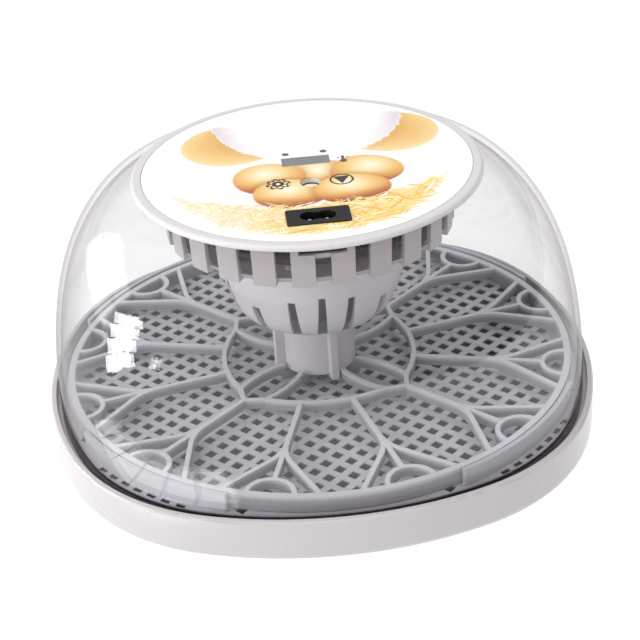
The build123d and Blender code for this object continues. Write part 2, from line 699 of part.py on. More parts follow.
with BuildPart() as fan_bell:
    revolve(bell_profile(0, BELL_BOTTOM), axis=Axis.Z)
    revolve(bell_profile(SHELL_WALL, BELL_BOTTOM + SHELL_WALL), axis=Axis.Z, mode=Mode.SUBTRACT)
    with BuildSketch(Plane.XY.offset(floor_plane_top)):
        Circle(LIP_RADIUS)
        Circle(BELL_TOP_RADIUS - SHELL_WALL, mode=Mode.SUBTRACT)
        with Locations(*bracket_screws_at):
            Circle(SCREW_HOLE + SNUG, mode=Mode.SUBTRACT)
    extrude(amount=LIP_THICK)
    for side in range(4):
        for turn, slot_top, narrow in BELL_SLOTS:
            with BuildSketch(outward(90 * side + turn, BELL_SLOT_START)):
                Polygon((-BELL_SLOT_WIDE / 2, BELL_SLOT_LOW), (BELL_SLOT_WIDE / 2, BELL_SLOT_LOW),
                        (narrow / 2, slot_top), (-narrow / 2, slot_top), align=None)
            extrude(amount=BELL_TOP_RADIUS, mode=Mode.SUBTRACT)
    disc(MOTOR_SHAFT_RADIUS + SHAFT_HOLE_GAP, BELL_BOTTOM, BELL_BOTTOM + SHELL_WALL, Mode.SUBTRACT)
    for ear in motor_ears_at:
        disc(SCREW_HOLE + SNUG, BELL_BOTTOM, BELL_BOTTOM + SHELL_WALL, Mode.SUBTRACT, ear)
save(fan_bell, "fan_bell")

# ---------------------------------------------------------------- head: heater and probe
HEATER_RADIUS = 59.0
HEATER_WIRE = 1.9
HEATER_HEIGHT = 118.8
STAND_RADIUS = 2.6
PROBE_BELOW = 16.0
PROBE_ABOVE = 4.0
PROBE_TIP = 1.6
COLLAR_RADIUS = 3.8
COLLAR_HIGH = 3.0
with BuildPart() as heating_element:
    with BuildSketch(Plane.XZ):
        with Locations((HEATER_RADIUS, HEATER_HEIGHT)):
            Circle(HEATER_WIRE)
    revolve(axis=Axis.Z)
save(heating_element, "heating_element")

with BuildPart() as heater_stands:
    for angle in range(15, 375, 60):
        stand = polar(HEATER_RADIUS, angle)
        disc(STAND_RADIUS, floor_plane_top, HEATER_HEIGHT - HEATER_WIRE, Mode.ADD, stand)
save(heater_stands, "heater_stands")

with BuildPart() as temperature_probe:
    disc(PROBE_RADIUS, BASKET_BOTTOM - PROBE_BELOW, floor_plane_top + PROBE_ABOVE, Mode.ADD, PROBE_AT)
    fillet(temperature_probe.edges().group_by(Axis.Z)[0], PROBE_TIP)
    disc(COLLAR_RADIUS, floor_plane_top, floor_plane_top + COLLAR_HIGH, Mode.ADD, PROBE_AT)
save(temperature_probe, "temperature_probe")

# ---------------------------------------------------------------- head: fan
bracket_low = floor_plane_top + LIP_THICK
BRACKET_THICK = 1.8
BRACKET_RING = 6.0
BRACKET_ARM = 6.0
bracket_top = bracket_low + BRACKET_THICK
FAN_MOTOR_RADIUS = 13.0
FAN_MOTOR_HIGH = 11.6
FAN_MOTOR_ROUND = 1.5
FAN_MOTOR_CAP = 3.0  # closed end above the shaft's bore
FAN_HUB_RADIUS = 10.0
FAN_RADIUS = 40.0
FAN_TOP = 110.0
FAN_HIGH = 10.0
FAN_BLADES = 7
BLADE_THICK = 1.4
BLADE_LONG = 13.0
BLADE_TILT = 50.0
with BuildPart() as fan_bracket:
    with BuildSketch(Plane.XY.offset(bracket_low)):
        Circle(LIP_RADIUS)
        Circle(LIP_RADIUS - BRACKET_RING, mode=Mode.SUBTRACT)
        Circle(FAN_MOTOR_RADIUS + 2)
        with PolarLocations(LIP_RADIUS - BRACKET_RING / 2, 4, start_angle=22.5):
            Rectangle(LIP_RADIUS - FAN_MOTOR_RADIUS, BRACKET_ARM, align=(Align.MAX, Align.CENTER))
        Circle(FAN_SHAFT_RADIUS + 1, mode=Mode.SUBTRACT)
        with Locations(*bracket_screws_at):
            Circle(SCREW_HOLE + SNUG, mode=Mode.SUBTRACT)
    extrude(amount=BRACKET_THICK)
save(fan_bracket, "fan_bracket")

with BuildPart() as bracket_screws:
    pan_screws(bracket_screws_at, bracket_top, 2.3, 5.2, False)
save(bracket_screws, "bracket_screws")

fan_bore_top = bracket_top + FAN_MOTOR_HIGH - FAN_MOTOR_CAP
with BuildPart() as fan_motor:
    disc(FAN_MOTOR_RADIUS, bracket_top, bracket_top + FAN_MOTOR_HIGH)
    fillet(fan_motor.edges().group_by(Axis.Z)[-1], FAN_MOTOR_ROUND)
    disc(FAN_SHAFT_RADIUS + RUN_FIT, bracket_top, fan_bore_top, Mode.SUBTRACT)
save(fan_motor, "fan_motor")

with BuildPart() as fan_shaft:
    disc(FAN_SHAFT_RADIUS, FAN_TOP - FAN_HIGH, fan_bore_top - 1)
save(fan_shaft, "fan_shaft")

with BuildPart() as fan_impeller:
    disc(FAN_HUB_RADIUS, FAN_TOP - FAN_HIGH, FAN_TOP)
    for blade in range(FAN_BLADES):
        with BuildSketch(outward(360 / FAN_BLADES * blade, FAN_HUB_RADIUS - 1)):
            with Locations((0, FAN_TOP - FAN_HIGH / 2)):
                Rectangle(BLADE_THICK, BLADE_LONG, rotation=BLADE_TILT)
        extrude(amount=FAN_RADIUS - FAN_HUB_RADIUS + 1)
    disc(FAN_SHAFT_RADIUS, FAN_TOP - FAN_HIGH, FAN_TOP, Mode.SUBTRACT)
save(fan_impeller, "fan_impeller")

# ---------------------------------------------------------------- head: turner drive
MOTOR_RADIUS = 24.5
MOTOR_HIGH = 18.0
MOTOR_BORE = 8.0
EAR_RADIUS = 3.0
EAR_THICK = 1.6
motor_low = BELL_BOTTOM + SHELL_WALL
motor_bore_top = motor_low + MOTOR_BORE
with BuildPart() as turner_motor:
    disc(MOTOR_RADIUS, motor_low, motor_low + MOTOR_HIGH)
    for ear in motor_ears_at:
        disc(EAR_RADIUS, motor_low, motor_low + EAR_THICK, Mode.ADD, ear)
    block((2 * EAR_DISTANCE, 2 * EAR_RADIUS), motor_low, motor_low + EAR_THICK)
    for ear in motor_ears_at:
        disc(SCREW_HOLE, motor_low, motor_low + EAR_THICK, Mode.SUBTRACT, ear)
    disc(MOTOR_SHAFT_RADIUS + RUN_FIT, motor_low, motor_bore_top, Mode.SUBTRACT)
save(turner_motor, "turner_motor")

with BuildPart() as motor_screws:
    pan_screws(motor_ears_at, BELL_BOTTOM, 2.2, 3.4, True)
save(motor_screws, "motor_screws")

COLUMN_WALL = 2.0
COLUMN_GAP = 0.4
COLUMN_EDGE = 0.8
SLEEVE_RADIUS = 6.0
FIN_THICK = 4.0
SHAFT_FOOT = 48.0
column_top = BELL_BOTTOM - COLUMN_GAP
column_high = column_top - COLUMN_BOTTOM
peg_long = COLUMN_BOTTOM - turner_low - SOCKET_FLOOR - GAP
with BuildPart() as drive_column:
    disc(COLUMN_RADIUS, COLUMN_BOTTOM, column_top)
    fillet(drive_column.edges().group_by(Axis.Z)[0], COLUMN_EDGE)
    with BuildSketch(Plane.XY.offset(COLUMN_BOTTOM + COLUMN_WALL)):
        Circle(COLUMN_RADIUS - COLUMN_WALL)
        Circle(SLEEVE_RADIUS, mode=Mode.SUBTRACT)
    extrude(amount=column_high - 2 * COLUMN_WALL, mode=Mode.SUBTRACT)
    for angle in FIN_ANGLES:
        with BuildSketch(outward(angle, COLUMN_RADIUS - 1)):
            with Locations((0, COLUMN_BOTTOM - FIN_BELOW)):
                Rectangle(FIN_THICK, column_high + FIN_BELOW, align=(Align.CENTER, Align.MIN))
        extrude(amount=FIN_RADIUS - COLUMN_RADIUS + 1)
    with BuildSketch(Plane.XY.offset(COLUMN_BOTTOM).rotated((0, 0, TURNER_TURN))):
        Rectangle(PEG, PEG)
    extrude(amount=-peg_long)
    disc(MOTOR_SHAFT_RADIUS, SHAFT_FOOT, column_top, Mode.SUBTRACT)
save(drive_column, "drive_column")

with BuildPart() as motor_shaft:
    disc(MOTOR_SHAFT_RADIUS, SHAFT_FOOT, motor_bore_top - GAP)
save(motor_shaft, "motor_shaft")
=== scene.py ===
from math import atan2, cos, degrees, hypot, pi, radians, sin

import bpy
from mathutils import Matrix, Vector


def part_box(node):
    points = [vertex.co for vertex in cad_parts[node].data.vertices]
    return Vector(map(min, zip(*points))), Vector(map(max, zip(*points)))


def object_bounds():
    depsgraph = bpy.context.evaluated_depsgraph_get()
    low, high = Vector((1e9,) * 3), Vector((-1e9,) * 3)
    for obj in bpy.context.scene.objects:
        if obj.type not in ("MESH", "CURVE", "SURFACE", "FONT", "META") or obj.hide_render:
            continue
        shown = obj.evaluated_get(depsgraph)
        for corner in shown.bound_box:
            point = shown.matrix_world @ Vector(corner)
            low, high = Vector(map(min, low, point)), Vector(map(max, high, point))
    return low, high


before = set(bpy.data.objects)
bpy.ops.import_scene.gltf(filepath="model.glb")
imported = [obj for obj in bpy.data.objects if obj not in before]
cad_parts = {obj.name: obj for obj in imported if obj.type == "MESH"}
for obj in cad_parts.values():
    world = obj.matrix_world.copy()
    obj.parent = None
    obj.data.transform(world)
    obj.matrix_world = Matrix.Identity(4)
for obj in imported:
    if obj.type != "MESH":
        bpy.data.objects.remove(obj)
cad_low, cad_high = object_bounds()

MM = 0.001
TURNER_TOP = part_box("egg_turner")[1][2]
GRID_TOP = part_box("corner_guides")[0][2]  # the floor plate's upper face, which the guides stand on
SEAM_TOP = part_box("dome_cover")[0][2] + 2.6 * MM  # painted shade on the dome up to here, in the seam


def srgb(red, green, blue):
    """A linear colour with alpha from display values of 0 to 255."""
    def linear(value):
        share = value / 255
        return share / 12.92 if share <= 0.04045 else ((share + 0.055) / 1.055) ** 2.4
    return (linear(red), linear(green), linear(blue), 1.0)


# ---------------------------------------------------------------- node graphs
class Graph:
    """A material's node tree, with short calls for the nodes that every material here uses."""

    def __init__(self, name):
        self.material = bpy.data.materials.new(name)
        self.material.use_nodes = True
        self.nodes = self.material.node_tree.nodes
        self.links = self.material.node_tree.links
        self.nodes.clear()
        self.place = self.add("TexCoord").outputs["Object"]

    def add(self, kind, values=None, **settings):
        node = self.nodes.new("ShaderNode" + kind)
        for name, value in settings.items():
            setattr(node, name, value)
        for socket, value in (values or {}).items():
            self.feed(node.inputs[socket], value)
        return node

    def feed(self, socket, value):
        if isinstance(value, bpy.types.NodeSocket):
            self.links.new(value, socket)
        else:
            socket.default_value = value

    def math(self, operation, *values, clamp=False):
        node = self.add("Math", operation=operation, use_clamp=clamp)
        for socket, value in zip(node.inputs, values):
            self.feed(socket, value)
        return node.outputs[0]

    def noise(self, scale, detail=3.0, place=None, **settings):
        """Noise from 0 to 1; scale is in cycles per metre of the object."""
        values = {"Vector": place or self.place, "Scale": scale, "Detail": detail}
        values.update(settings)
        return self.add("TexNoise", values).outputs["Fac"]

    def spread(self, value, low, high, first, last, smooth=False):
        """Map value from low..high to first..last, clamped."""
        node = self.add("MapRange", {"Value": value, "From Min": low, "From Max": high,
                                     "To Min": first, "To Max": last},
                        interpolation_type="SMOOTHSTEP" if smooth else "LINEAR")
        return node.outputs["Result"]

    def mix(self, share, first, last, blend="MIX"):
        """Blend two colours."""
        node = self.add("Mix", data_type="RGBA", blend_type=blend)
        self.feed(node.inputs[0], share)
        self.feed(node.inputs[6], first)
        self.feed(node.inputs[7], last)
        return node.outputs[2]

    def ramp(self, value, *stops):
        """A colour ramp with (position, colour) stops."""
        node = self.add("ValToRGB", {"Fac": value})
        elements = node.color_ramp.elements
        while len(elements) < len(stops):
            elements.new(1.0)
        for element, (position, colour) in zip(elements, stops):
            element.position = position
            element.color = colour
        return node.outputs["Color"]

    def bump(self, height, distance, strength=1.0, below=None):
        values = {"Height": height, "Distance": distance, "Strength": strength}
        if below is not None:
            values["Normal"] = below
        return self.add("Bump", values).outputs["Normal"]

    def finish(self, shader):
        output = self.add("OutputMaterial")
        self.links.new(shader, output.inputs["Surface"])
        return self.material

    def principled(self, **values):
        sockets = {name.replace("_", " "): value for name, value in values.items()}
        return self.finish(self.add("BsdfPrincipled", sockets).outputs[0])


# ---------------------------------------------------------------- materials
def moulded(name, colour, roughness, grain=0.00003, edge=0.0004, coat=0.0, drift=0.05, flow=26.0,
            shade=None):
    """Injection-moulded plastic: faint flow clouds in colour and gloss, fine grain, softened edges.

    shade, if given, is (low, high, share): the tone falls to that share from height high down to low.
    It stands for the shade in holes and under edges, which soft light alone leaves too pale.
    """
    graph = Graph(name)
    clouds = graph.noise(flow, 4.0)
    specks = graph.noise(900.0, 2.0)
    dark = tuple(part * (1 - drift) for part in colour[:3]) + (1.0,)
    light = tuple(min(part * (1 + drift), 1.0) for part in colour[:3]) + (1.0,)
    tone = graph.mix(graph.spread(clouds, 0.3, 0.7, 0.0, 1.0), dark, light)
    tone = graph.mix(graph.spread(specks, 0.35, 0.65, 0.0, 0.06), tone, dark)
    if shade is not None:
        shade_low, shade_high, share = shade
        height = graph.add("SeparateXYZ", {"Vector": graph.place}).outputs[2]
        dim = tuple(part * share for part in colour[:3]) + (1.0,)
        tone = graph.mix(graph.spread(height, shade_low, shade_high, 1.0, 0.0), tone, dim)
    shine = graph.math("ADD", graph.spread(clouds, 0.3, 0.7, roughness - 0.05, roughness + 0.05),
                       graph.spread(specks, 0.3, 0.7, -0.02, 0.02))
    rounded = graph.add("Bevel", {"Radius": edge}, samples=4).outputs["Normal"]
    normal = graph.bump(specks, grain, 1.0, rounded)
    return graph.principled(Base_Color=tone, Roughness=shine, Normal=normal, Coat_Weight=coat,
                            Coat_Roughness=0.08)


def metal(name, colour, roughness, stretch=(1.0, 1.0, 40.0), scale=60.0):
    """Drawn or turned metal: streaks along one direction in colour, gloss and relief."""
    graph = Graph(name)
    along = graph.add("Mapping", {"Vector": graph.place, "Scale": stretch}).outputs[0]
    streaks = graph.noise(scale, 4.0, along)
    stains = graph.noise(120.0, 3.0)
    dull = tuple(part * 0.7 for part in colour[:3]) + (1.0,)
    tone = graph.mix(graph.spread(stains, 0.35, 0.75, 0.0, 0.6), colour, dull)
    shine = graph.spread(streaks, 0.3, 0.7, roughness - 0.08, roughness + 0.1)
    normal = graph.bump(streaks, 0.00004)
    return graph.principled(Base_Color=tone, Roughness=shine, Normal=normal, Metallic=1.0)


def clear_plastic(name, tint, edge_tints, seam_shade_tone, foot_top):
    """Clear moulded wall: see-through straight on, grey and mirror-like edge-on, with painted shade on its
    foot in the seam.
    """
    graph = Graph(name)
    wobble = graph.bump(graph.noise(9.0, 2.0), 0.0006, 0.5)
    turned = graph.add("LayerWeight", {"Blend": 0.5}).outputs["Facing"]
    grazing = graph.math("POWER", turned, 5.0)
    mirror = graph.math("MULTIPLY_ADD", grazing, 0.45, 0.045)
    body = graph.ramp(turned, (0.0, tint), (0.6, tint), (0.8, edge_tints[0]), (0.93, edge_tints[1]),
                      (1.0, edge_tints[2]))
    height = graph.add("SeparateXYZ", {"Vector": graph.place}).outputs[2]
    # painted shade: below foot_top, where the foot stands in the base's rim, the wall darkens
    foot = graph.spread(height, foot_top - 0.002, foot_top + 0.001, 1.0, 0.0, smooth=True)
    body = graph.mix(foot, body, seam_shade_tone)
    haze = graph.spread(graph.noise(32.0, 5.0), 0.35, 0.75, 0.006, 0.02)
    through = graph.add("BsdfTransparent", {"Color": body}).outputs[0]
    gloss = graph.add("BsdfGlossy", {"Color": (1.0, 1.0, 1.0, 1.0), "Roughness": haze,
                                     "Normal": wobble}).outputs[0]
    both = graph.add("MixShader")
    graph.feed(both.inputs[0], mirror)
    graph.links.new(through, both.inputs[1])
    graph.links.new(gloss, both.inputs[2])
    return graph.finish(both.outputs[0])


def rubber(name, colour):
    """Matt rubber with pale dust in its relief."""
    graph = Graph(name)
    dust = graph.noise(300.0, 5.0)
    pale = tuple(part * 1.8 + 0.02 for part in colour[:3]) + (1.0,)
    tone = graph.mix(graph.spread(dust, 0.4, 0.75, 0.0, 0.7), colour, pale)
    return graph.principled(Base_Color=tone, Roughness=graph.spread(dust, 0.3, 0.7, 0.6, 0.85),
                            Normal=graph.bump(dust, 0.00015))


def circuit_board(name):
    """Green lacquer with copper tracks that show through and rows of tinned pads."""
    graph = Graph(name)
    cells = graph.add("TexVoronoi", {"Vector": graph.place, "Scale": 170.0},
                      distance="CHEBYCHEV", feature="F1")
    tracks = graph.spread(cells.outputs["Distance"], 0.44, 0.5, 0.0, 1.0)
    pads = graph.spread(cells.outputs["Distance"], 0.1, 0.13, 1.0, 0.0)
    green = graph.mix(tracks, srgb(18, 82, 42), srgb(38, 120, 60))
    tone = graph.mix(pads, green, srgb(190, 190, 180))
    lacquer = graph.noise(500.0)
    return graph.principled(Base_Color=tone, Roughness=graph.spread(lacquer, 0.3, 0.7, 0.22, 0.4),
                            Normal=graph.bump(graph.math("ADD", tracks, pads), 0.00006))


def ceramic(name, colour):
    """Unglazed ceramic: matt, with fine grain."""
    graph = Graph(name)
    grain = graph.noise(700.0, 5.0)
    dark = tuple(part * 0.82 for part in colour[:3]) + (1.0,)
    return graph.principled(Base_Color=graph.mix(grain, dark, colour),
                            Roughness=graph.spread(grain, 0.3, 0.7, 0.5, 0.75),
                            Normal=graph.bump(grain, 0.0001))


def smoked_window(name, colour):
    """Tinted lens: glossy, with faint clouds in its tone."""
    graph = Graph(name)
    clouds = graph.noise(220.0, 3.0)
    dark = tuple(part * 0.8 for part in colour[:3]) + (1.0,)
    tone = graph.mix(graph.spread(clouds, 0.35, 0.7, 0.0, 0.5), colour, dark)
    return graph.principled(Base_Color=tone, Roughness=graph.spread(clouds, 0.3, 0.7, 0.1, 0.2),
                            Coat_Weight=0.6, Coat_Roughness=0.05,
                            Normal=graph.bump(clouds, 0.00001))


# ---------------------------------------------------------------- printed label
PAPER = srgb(252, 251, 251)
INK = srgb(26, 18, 14)
PRINT_DEPTH = (0.93, 0.92, 0.925, 1.0)  # scales the print, so that its white does not burn out
SHADE = srgb(158, 66, 34)


# The picture, in millimetres on the label: three eggs behind two, under a mirrored pair of half shells.
NEST_MIDDLE = 5.0
BACK_ROW = -12.0
BACK_SPACING = 25.0
FRONT_ROW = -32.0
FRONT_SPACING = 31.0
BACK_EGG = (19.0, 18.0)
FRONT_EGG = (19.5, 16.5)
SHELL_OUT = 43.0
SHELL_UP = 33.0
SHELL_RADIUS = 26.0
SHELL_SAG = 6.0  # how far the crack dips into the shell
SHELL_DEEP = 16.0  # how far the pale inside fades
CRACK_ANGLES = (110.0, -48.0)  # where the crack's top and foot meet the shell's round
STRAW_TURNS = (8, -14, 27, -40, 62, -70, 15, -6, 36)  # each layer's direction in degrees, lowest first
STRAW_REACH = 79.0  # the straw thins out from this far off the label's middle
GEAR_AT = (-16.4, -19.8)
ARROW_AT = (15.9, -20.8)
THERMOMETER_AT = (19.4, 1.6)


class Art(Graph):
    """The label's print: eggs on straw under two open shells, drawn in millimetres on the label."""

    def __init__(self, name):
        super().__init__(name)
        parts = self.add("SeparateXYZ", {"Vector": self.place})
        self.x = self.math("MULTIPLY", parts.outputs[0], 1000.0)
        self.y = self.math("MULTIPLY", parts.outputs[1], 1000.0)
        self.flat = self.add("CombineXYZ", {"X": self.x, "Y": self.y}).outputs[0]
        self.tone = self.mix(0.0, PAPER, PAPER)

    def local(self, centre, turn):
        """Coordinates from a centre, along and across a direction in degrees."""
        x = self.math("SUBTRACT", self.x, centre[0])
        y = self.math("SUBTRACT", self.y, centre[1])
        c, s = cos(radians(turn)), sin(radians(turn))
        along = self.math("MULTIPLY_ADD", x, c, self.math("MULTIPLY", y, s))
        across = self.math("MULTIPLY_ADD", y, c, self.math("MULTIPLY", x, -s))
        return along, across

    def length(self, along, across):
        squares = self.math("MULTIPLY_ADD", along, along, self.math("MULTIPLY", across, across))
        return self.math("SQRT", squares)

    def oval(self, centre, size, turn=0.0, taper=0.0):
        """Distance from an oval's centre, 1 on its outline; taper narrows one end as on an egg."""
        along, across = self.local(centre, turn)
        along = self.math("DIVIDE", along, size[0])
        across = self.math("DIVIDE", across, size[1])
        if taper:
            across = self.math("DIVIDE", across, self.math("MULTIPLY_ADD", along, -taper, 1.0))
        return self.length(along, across)

    def inside(self, distance, edge=1.0, soft=0.02):
        return self.spread(distance, edge - soft, edge + soft, 1.0, 0.0, smooth=True)

    def paint(self, mask, colour):
        self.tone = self.mix(mask, self.tone, colour)

    def both(self, *masks):
        result = masks[0]
        for mask in masks[1:]:
            result = self.math("MULTIPLY", result, mask)
        return result


def egg(art, covered, centre, size, turn, light, shade):
    """Paint one egg over what is there, with a soft warm shade round it on the eggs behind."""
    distance = art.oval(centre, size, turn, 0.1)
    mask = art.inside(distance, soft=0.03)
    halo = art.both(art.spread(distance, 0.95, 1.3, shade, 0.0, smooth=True), covered)
    art.paint(halo, SHADE)
    lit_at = (centre[0] + light[0] * size[0], centre[1] + light[1] * size[1])
    fall = art.oval(lit_at, (size[0] * 1.5, size[1] * 1.5), turn)
    low = art.spread(art.local(centre, 0)[1], 0.1 * size[1], -1.0 * size[1], 0.0, 0.3, smooth=True)
    skin = art.ramp(art.math("ADD", fall, low),
                    (0.0, srgb(255, 248, 226)), (0.2, srgb(253, 232, 180)), (0.48, srgb(238, 194, 114)),
                    (0.78, srgb(220, 150, 66)), (1.0, srgb(186, 98, 44)))
    art.paint(mask, skin)
    return art.math("MAXIMUM", covered, mask)


def shell(art, side):
    """Paint a half shell, left (-1) or right (1): gold outside, pale lilac inside, ragged crack between."""
    radius, sag, deep = SHELL_RADIUS, SHELL_SAG, SHELL_DEEP
    centre = (NEST_MIDDLE + side * SHELL_OUT, SHELL_UP)
    top, foot = [(centre[0] - side * radius * cos(radians(angle)), centre[1] + radius * sin(radians(angle)))
                 for angle in CRACK_ANGLES]
    first, last = (top, foot) if side < 0 else (foot, top)
    middle = ((first[0] + last[0]) / 2, (first[1] + last[1]) / 2)
    half = hypot(last[0] - first[0], last[1] - first[1]) / 2
    turn = degrees(atan2(last[1] - first[1], last[0] - first[0]))
    body = art.inside(art.oval(centre, (radius, radius * 0.98)), soft=0.025)
    along, across = art.local(middle, turn)
    rag = art.noise(0.2, 4.0, art.flat, Roughness=0.65)
    share = art.math("DIVIDE", along, half)
    bow = art.math("MULTIPLY_ADD", art.math("MULTIPLY", share, share), -sag, sag)
    edge = art.math("ADD", art.math("ADD", across, bow), art.math("MULTIPLY_ADD", rag, 9.0, -4.5))
    outer = art.spread(edge, -0.2, 0.2, 1.0, 0.0)
    inner = art.math("SUBTRACT", 1.0, outer)
    within = art.inside(art.oval(middle, (half * 1.04, deep), turn), soft=0.12)
    top_end = art.spread(art.math("MULTIPLY", share, -side), -0.9, 0.9, 1.0, 0.0, smooth=True)
    fade = art.spread(edge, 0.5, deep, 1.0, 0.0, smooth=True)
    strength = art.math("MULTIPLY", fade, art.math("MULTIPLY_ADD", top_end, 0.85, 0.15))
    art.paint(art.both(within, inner, strength), srgb(226, 214, 222))
    lip = art.both(within, inner, art.spread(edge, 0.3, 1.5, 0.8, 0.0))
    art.paint(lip, srgb(252, 244, 232))
    fall = art.oval((centre[0], centre[1] + 0.12 * radius), (radius * 1.12, radius * 1.12))
    gold = art.ramp(fall, (0.0, srgb(226, 174, 92)), (0.5, srgb(238, 192, 112)),
                    (0.82, srgb(246, 212, 142)), (1.0, srgb(250, 228, 182)))
    toward = art.spread(edge, -9.0, 0.0, 0.0, 0.35, smooth=True)
    art.paint(art.both(body, outer), art.mix(toward, gold, srgb(218, 160, 76)))


def straw(art):
    """Paint the straw: crossing layers of strands, each with its own tone and a shaded flank."""
    square = art.math("MULTIPLY", art.x, art.x)
    bed = art.math("MULTIPLY_ADD", square, 0.0046, -52.0)
    ragged = art.noise(0.16, 4.0, art.flat)
    depth = art.math("SUBTRACT", art.math("MULTIPLY_ADD", ragged, 10.0, bed), art.y)
    bend = art.math("MULTIPLY", art.noise(0.05, 1.0, art.flat), 6.0)
    top = art.mix(0.0, srgb(196, 128, 50), PAPER)
    pile = art.math("MULTIPLY", 0.0, art.x)
    for layer, turn in enumerate(STRAW_TURNS):
        along, across = art.local((3.0 * layer, layer - 60.0), turn)
        strands = art.add("CombineXYZ", {
            "X": art.math("MULTIPLY", along, 0.04),
            "Y": art.math("ADD", art.math("MULTIPLY", across, 0.7), bend),
            "Z": 7.0 * layer}).outputs[0]
        relief = art.noise(1.0, 0.5, strands)
        own = art.noise(1.0, 0.0, art.add("VectorMath", {0: strands, 1: (0.0, 0.3, 40.0)},
                                          operation="ADD").outputs[0])
        patch = art.noise(0.07, 1.0, art.add("VectorMath", {0: art.flat, 1: (31.0 * layer, 0, 0)},
                                             operation="ADD").outputs[0])
        height = art.math("MULTIPLY_ADD", patch, 0.45, relief)
        lift = art.math("SUBTRACT", height, pile)
        tone = art.ramp(art.spread(own, 0.32, 0.68, 0.0, 1.0),
                        (0.0, srgb(236, 184, 80)), (0.3, srgb(248, 210, 100)), (0.55, srgb(252, 232, 136)),
                        (0.8, srgb(254, 240, 188)), (1.0, srgb(255, 250, 228)))
        flank = art.spread(lift, 0.0, 0.05, 0.55, 0.0)
        top = art.mix(art.spread(lift, -0.004, 0.004, 0.0, 1.0), top,
                      art.mix(flank, tone, srgb(204, 134, 48)))
        pile = art.math("MAXIMUM", pile, height)
    gaps = art.spread(pile, 0.86, 0.78, 0.0, 1.0)
    paleness = art.spread(art.x, -62.0, 4.0, 1.0, 0.0, smooth=True)
    top = art.mix(art.math("MULTIPLY", paleness, art.math("MULTIPLY_ADD", gaps, 0.5, 0.4)), top, PAPER)
    strand_edge = art.math("ADD", depth, art.math("MULTIPLY_ADD", pile, 26.0, -22.5))
    cover = art.spread(strand_edge, -0.8, 1.6, 0.0, 1.0, smooth=True)
    margin = art.math("ADD", art.length(art.math("MULTIPLY", art.x, 1.09), art.y),
                      art.math("MULTIPLY_ADD", pile, -22.0, 22.0))
    art.paint(art.both(cover, art.spread(margin, STRAW_REACH, STRAW_REACH + 5.0, 1.0, 0.0,
                                          smooth=True)), top)


def gear_sign(art, centre):
    """A toothed ring round a small ring."""
    along, across = art.local(centre, 0)
    reach = art.length(along, across)
    angle = art.math("ARCTAN2", across, along)
    tooth = art.spread(art.math("SINE", art.math("MULTIPLY", angle, 8.0)), -0.35, 0.35, 0.0, 1.0)
    rim = art.math("ABSOLUTE", art.math("SUBTRACT", reach, art.math("MULTIPLY_ADD", tooth, 1.2, 4.4)))
    hub = art.math("ABSOLUTE", art.math("SUBTRACT", reach, 2.2))
    art.paint(art.spread(rim, 0.55, 0.85, 1.0, 0.0), INK)
    art.paint(art.spread(hub, 0.95, 1.15, 1.0, 0.0), INK)
    art.paint(art.inside(reach, 1.0, 0.2), PAPER)


def arrow_sign(art, centre):
    """A down arrow in a ring."""
    along, across = art.local(centre, 0)
    reach = art.length(along, across)
    ring = art.math("ABSOLUTE", art.math("SUBTRACT", reach, 5.6))
    art.paint(art.spread(ring, 0.35, 0.55, 1.0, 0.0), INK)
    slope = art.math("MULTIPLY_ADD", across, -0.5, art.math("ABSOLUTE", along))
    flank = art.spread(slope, 2.3, 2.55, 1.0, 0.0)
    art.paint(art.both(flank, art.spread(across, 3.6, 3.85, 1.0, 0.0)), INK)


def thermometer_sign(art, centre):
    """A bulb with a stem and two marks beside it."""
    along, across = art.local(centre, 90)
    aside = art.math("ABSOLUTE", across)
    stem = art.both(art.spread(aside, 0.7, 0.95, 1.0, 0.0), art.spread(along, 6.0, 6.25, 1.0, 0.0),
                    art.spread(along, 0.0, 0.2, 0.0, 1.0))
    bulb = art.inside(art.length(along, across), 1.9, 0.1)
    mark = art.spread(art.math("ABSOLUTE", art.math("SUBTRACT", along, 4.0)), 0.35, 0.55, 1.0, 0.0)
    marks = art.both(mark, art.spread(aside, 3.0, 3.2, 1.0, 0.0), art.spread(aside, 1.5, 1.7, 0.0, 1.0))
    art.paint(art.math("MAXIMUM", art.math("MAXIMUM", stem, bulb), marks), srgb(96, 66, 40))


def printed_label(name):
    """The whole print under its clear film, from the back of the picture to the front."""
    art = Art(name)
    for side in (-1, 1):
        shell(art, side)
    covered = art.math("MULTIPLY", 0.0, art.x)
    for column in (0, -1, 1):
        place = (NEST_MIDDLE + column * BACK_SPACING, BACK_ROW)
        covered = egg(art, covered, place, BACK_EGG, -10.0 * column, (0.1 * column, 0.3), 0.3)
    for side in (-1, 1):
        place = (NEST_MIDDLE + side * FRONT_SPACING / 2, FRONT_ROW)
        covered = egg(art, covered, place, FRONT_EGG, 6.0 * side, (-0.1, 0.3), 0.4)
    depths = art.spread(art.math("MULTIPLY_ADD", art.math("MULTIPLY", art.x, art.x), -0.006, art.y),
                        -37.0, -49.0, 0.0, 0.85, smooth=True)
    art.paint(art.both(covered, depths), srgb(168, 74, 42))
    straw(art)
    gear_sign(art, GEAR_AT)
    arrow_sign(art, ARROW_AT)
    thermometer_sign(art, THERMOMETER_AT)
    film = art.noise(700.0, 2.0)
    tone = art.mix(1.0, art.tone, PRINT_DEPTH, "MULTIPLY")
    return art.principled(Base_Color=tone, Roughness=art.spread(film, 0.3, 0.7, 0.26, 0.3),
                          Coat_Weight=0.35, Coat_Roughness=0.12, Normal=art.bump(film, 0.000002))


